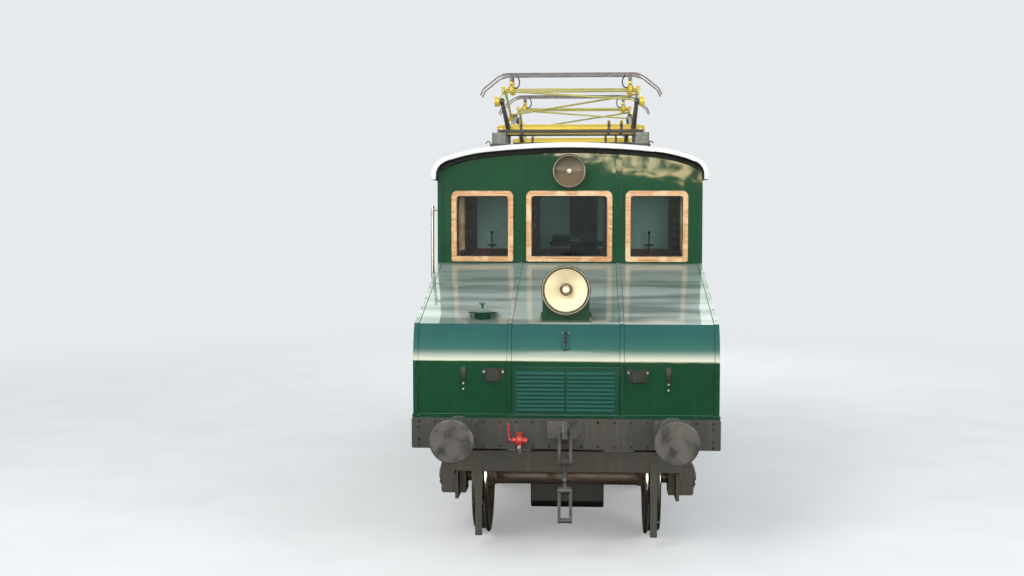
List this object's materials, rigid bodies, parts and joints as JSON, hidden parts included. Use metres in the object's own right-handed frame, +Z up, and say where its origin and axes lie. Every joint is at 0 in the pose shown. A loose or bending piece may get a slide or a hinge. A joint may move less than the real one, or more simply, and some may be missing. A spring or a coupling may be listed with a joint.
{
  "type": "steeple-cab electric locomotive",
  "caption": "Green steeple-cab electric locomotive with full-width sloping hoods, white arched roof, turning bogies and folded pantographs that raise.",
  "frame": {"origin": "midway between the buffers and the wheels, on the plane of the wheel flanges' lowest points", "axes": "+Z up, +Y towards the rear end, +X to the right as seen from the front end"},
  "size_m": [2.674, 9.5, 4.2507],
  "materials": {
    "body_green": "gloss enamel, brushed by hand",
    "roof_white": "satin, weathered",
    "frame_paint": "matt, dusty and oily",
    "bogie_paint": "matt, oily",
    "wheel_steel": "machined tread, dull painted web",
    "buffer_steel": "weathered, greased",
    "window_wood": "varnished, worn at the lower rail",
    "clear_glass": "clear",
    "lens_glass": "clear, slightly yellowed",
    "lamp_paint": "gloss",
    "pantograph_yellow": "gloss, chipped",
    "pantograph_brown": "satin",
    "contact_strip": "worn by the wire",
    "insulator_grey": "glazed",
    "black_paint": "satin",
    "brake_red": "satin",
    "cab_grey": "satin",
    "seat_leather": "worn",
    "rail_steel": "handled bare"
  },
  "bodies": {
    "locomotive": {"main_frame": "frame_paint", "buffer_beams": "frame_paint", "buffers": "buffer_steel", "draw_hooks": "buffer_steel", "brake_cocks": "brake_red", "front_hood": "body_green", "rear_hood": "body_green", "hood_louvres": "body_green", "hood_fittings": "black_paint", "hood_vents": "body_green", "lamp_housings": "lamp_paint", "lamp_lenses": "lens_glass", "front_cab_wall": "body_green", "rear_cab_wall": "body_green", "left_cab_wall": "body_green", "right_cab_wall": "body_green", "cab_roof": "roof_white", "window_frames": "window_wood", "window_glass": "clear_glass", "cab_partition": "window_wood", "control_cabinet": "cab_grey", "control_stands": "cab_grey", "driver_stools": "seat_leather", "cab_steps": "black_paint", "handrails": "rail_steel", "air_tanks": "black_paint", "front_pantograph_base": "pantograph_yellow", "rear_pantograph_base": "pantograph_yellow", "pantograph_feet": "black_paint", "pantograph_insulators": "insulator_grey"},
    "left_door": {"left_door": "body_green", "left_door_glass": "clear_glass"},
    "right_door": {"right_door": "body_green", "right_door_glass": "clear_glass"},
    "front_coupling": {"front_coupling": "buffer_steel"},
    "rear_coupling": {"rear_coupling": "buffer_steel"},
    "front_bogie": {"front_bogie_frame": "bogie_paint", "front_axle_boxes": "bogie_paint", "front_traction_motors": "black_paint"},
    "wheelset_1": {"wheelset_1": "wheel_steel"},
    "wheelset_2": {"wheelset_2": "wheel_steel"},
    "rear_bogie": {"rear_bogie_frame": "bogie_paint", "rear_axle_boxes": "bogie_paint", "rear_traction_motors": "black_paint"},
    "wheelset_3": {"wheelset_3": "wheel_steel"},
    "wheelset_4": {"wheelset_4": "wheel_steel"},
    "front_pantograph_lower_front": {"front_pantograph_lower_front": "pantograph_yellow"},
    "front_pantograph_lower_rear": {"front_pantograph_lower_rear": "pantograph_yellow"},
    "front_pantograph_upper_front": {"front_pantograph_upper_front": "pantograph_yellow"},
    "front_pantograph_upper_rear": {"front_pantograph_upper_rear": "pantograph_yellow"},
    "front_pantograph_head": {"front_pantograph_head": "contact_strip"},
    "rear_pantograph_lower_front": {"rear_pantograph_lower_front": "pantograph_yellow"},
    "rear_pantograph_lower_rear": {"rear_pantograph_lower_rear": "pantograph_yellow"},
    "rear_pantograph_upper_front": {"rear_pantograph_upper_front": "pantograph_yellow"},
    "rear_pantograph_upper_rear": {"rear_pantograph_upper_rear": "pantograph_yellow"},
    "rear_pantograph_head": {"rear_pantograph_head": "contact_strip"}
  },
  "joints": [
    {"name": "left_door_hinge", "type": "hinge", "parent": "locomotive", "child": "left_door", "pos_m": [-1.188, -1.4825, 2.133], "axis": [0, 0, 1], "range_deg": [0, 85]},
    {"name": "right_door_hinge", "type": "hinge", "parent": "locomotive", "child": "right_door", "pos_m": [1.188, 1.4825, 2.133], "axis": [0, 0, 1], "range_deg": [0, 85]},
    {"name": "front_coupling_swing", "type": "hinge", "parent": "locomotive", "child": "front_coupling", "pos_m": [0, -4.25, 1.078], "axis": [-1, 0, 0], "range_deg": [-5, 80]},
    {"name": "rear_coupling_swing", "type": "hinge", "parent": "locomotive", "child": "rear_coupling", "pos_m": [0, 4.25, 1.078], "axis": [1, 0, 0], "range_deg": [-5, 80]},
    {"name": "front_bogie_turn", "type": "hinge", "parent": "locomotive", "child": "front_bogie", "pos_m": [0, -2.2, 0.828], "axis": [0, 0, 1], "range_deg": [-4, 4]},
    {"name": "wheelset_1_spin", "type": "hinge", "parent": "front_bogie", "child": "wheelset_1", "pos_m": [0, -3.2, 0.503], "axis": [1, 0, 0], "continuous": true},
    {"name": "wheelset_2_spin", "type": "hinge", "parent": "front_bogie", "child": "wheelset_2", "pos_m": [0, -1.2, 0.503], "axis": [1, 0, 0], "continuous": true},
    {"name": "rear_bogie_turn", "type": "hinge", "parent": "locomotive", "child": "rear_bogie", "pos_m": [0, 2.2, 0.828], "axis": [0, 0, 1], "range_deg": [-4, 4]},
    {"name": "wheelset_3_spin", "type": "hinge", "parent": "rear_bogie", "child": "wheelset_3", "pos_m": [0, 1.2, 0.503], "axis": [1, 0, 0], "continuous": true},
    {"name": "wheelset_4_spin", "type": "hinge", "parent": "rear_bogie", "child": "wheelset_4", "pos_m": [0, 3.2, 0.503], "axis": [1, 0, 0], "continuous": true},
    {"name": "front_pantograph_raise", "type": "hinge", "parent": "locomotive", "child": "front_pantograph_lower_front", "pos_m": [0, -1.48, 3.69], "axis": [-1, 0, 0], "range_deg": [0, 50]},
    {"name": "front_pantograph_lower_rear_follow", "type": "hinge", "parent": "locomotive", "child": "front_pantograph_lower_rear", "pos_m": [0, -1.22, 3.69], "axis": [1, 0, 0], "range_deg": [0, 50]},
    {"name": "front_pantograph_upper_front_follow", "type": "hinge", "parent": "front_pantograph_lower_front", "child": "front_pantograph_upper_front", "pos_m": [0, -2.45012, 3.88737], "axis": [1, 0, 0], "range_deg": [0, 100]},
    {"name": "front_pantograph_upper_rear_follow", "type": "hinge", "parent": "front_pantograph_lower_rear", "child": "front_pantograph_upper_rear", "pos_m": [0, -0.24988, 3.88737], "axis": [-1, 0, 0], "range_deg": [0, 100]},
    {"name": "front_pantograph_head_follow", "type": "hinge", "parent": "front_pantograph_upper_front", "child": "front_pantograph_head", "pos_m": [0, -1.48, 4.08475], "axis": [-1, 0, 0], "range_deg": [0, 50]},
    {"name": "rear_pantograph_raise", "type": "hinge", "parent": "locomotive", "child": "rear_pantograph_lower_front", "pos_m": [0, 1.22, 3.69], "axis": [-1, 0, 0], "range_deg": [0, 50]},
    {"name": "rear_pantograph_lower_rear_follow", "type": "hinge", "parent": "locomotive", "child": "rear_pantograph_lower_rear", "pos_m": [0, 1.48, 3.69], "axis": [1, 0, 0], "range_deg": [0, 50]},
    {"name": "rear_pantograph_upper_front_follow", "type": "hinge", "parent": "rear_pantograph_lower_front", "child": "rear_pantograph_upper_front", "pos_m": [0, 0.24988, 3.88737], "axis": [1, 0, 0], "range_deg": [0, 100]},
    {"name": "rear_pantograph_upper_rear_follow", "type": "hinge", "parent": "rear_pantograph_lower_rear", "child": "rear_pantograph_upper_rear", "pos_m": [0, 2.45012, 3.88737], "axis": [-1, 0, 0], "range_deg": [0, 100]},
    {"name": "rear_pantograph_head_follow", "type": "hinge", "parent": "rear_pantograph_upper_front", "child": "rear_pantograph_head", "pos_m": [0, 1.22, 4.08475], "axis": [-1, 0, 0], "range_deg": [0, 50]}
  ],
  "couplings": [
    {"joint": "front_pantograph_lower_rear_follow", "follows": "front_pantograph_raise", "ratio": 1},
    {"joint": "front_pantograph_upper_front_follow", "follows": "front_pantograph_raise", "ratio": 2},
    {"joint": "front_pantograph_upper_rear_follow", "follows": "front_pantograph_raise", "ratio": 2},
    {"joint": "front_pantograph_head_follow", "follows": "front_pantograph_raise", "ratio": 1},
    {"joint": "rear_pantograph_lower_rear_follow", "follows": "rear_pantograph_raise", "ratio": 1},
    {"joint": "rear_pantograph_upper_front_follow", "follows": "rear_pantograph_raise", "ratio": 2},
    {"joint": "rear_pantograph_upper_rear_follow", "follows": "rear_pantograph_raise", "ratio": 2},
    {"joint": "rear_pantograph_head_follow", "follows": "rear_pantograph_raise", "ratio": 1}
  ]
}
